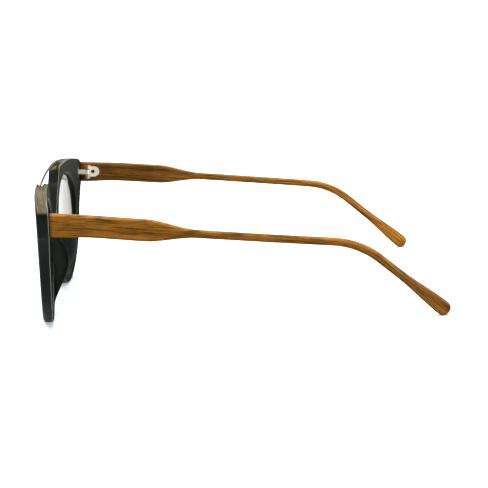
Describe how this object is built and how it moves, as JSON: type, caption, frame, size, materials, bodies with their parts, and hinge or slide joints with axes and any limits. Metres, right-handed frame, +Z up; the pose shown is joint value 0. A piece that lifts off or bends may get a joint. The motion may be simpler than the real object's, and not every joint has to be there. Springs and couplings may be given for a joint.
{
  "type": "acetate sunglasses",
  "caption": "Round sunglasses with a black curved front, a metal bar above the bridge, tinted lenses and wood-look temples that fold on barrel hinges.",
  "frame": {"origin": "on the floor under the middle of the whole length, in the middle plane", "axes": "+X to the wearer's left, +Y towards the temple tips, +Z up"},
  "size_m": [0.1456, 0.1454, 0.052],
  "materials": {
    "front": "satin black acetate with a fine grain",
    "lens": "brown-grey tint, polished",
    "bar": "polished pale gold",
    "pad": "polished black acetate",
    "hinge": "satin nickel",
    "screw": "turned steel",
    "temple": "golden brown with dark grain lines, oiled",
    "core": "drawn wire"
  },
  "bodies": {
    "front": {"front_frame": "front", "left_lens": "lens", "right_lens": "lens", "brow_bar": "bar", "left_nose_pad": "pad", "right_nose_pad": "pad", "left_front_hinge": "hinge", "right_front_hinge": "hinge"},
    "left_temple": {"left_temple": "temple", "left_core_wire": "core", "left_temple_hinge": "hinge", "left_hinge_screw": "screw", "left_plate_screw": "screw"},
    "right_temple": {"right_temple": "temple", "right_core_wire": "core", "right_temple_hinge": "hinge", "right_hinge_screw": "screw", "right_plate_screw": "screw"}
  },
  "joints": [
    {"name": "left_fold", "type": "hinge", "parent": "front", "child": "left_temple", "pos_m": [0.065, -0.06039, 0.04055], "axis": [0, 0.061, 0.9981], "range_deg": [0, 90]},
    {"name": "right_fold", "type": "hinge", "parent": "front", "child": "right_temple", "pos_m": [-0.065, -0.06039, 0.04055], "axis": [0, -0.061, -0.9981], "range_deg": [0, 86]}
  ]
}
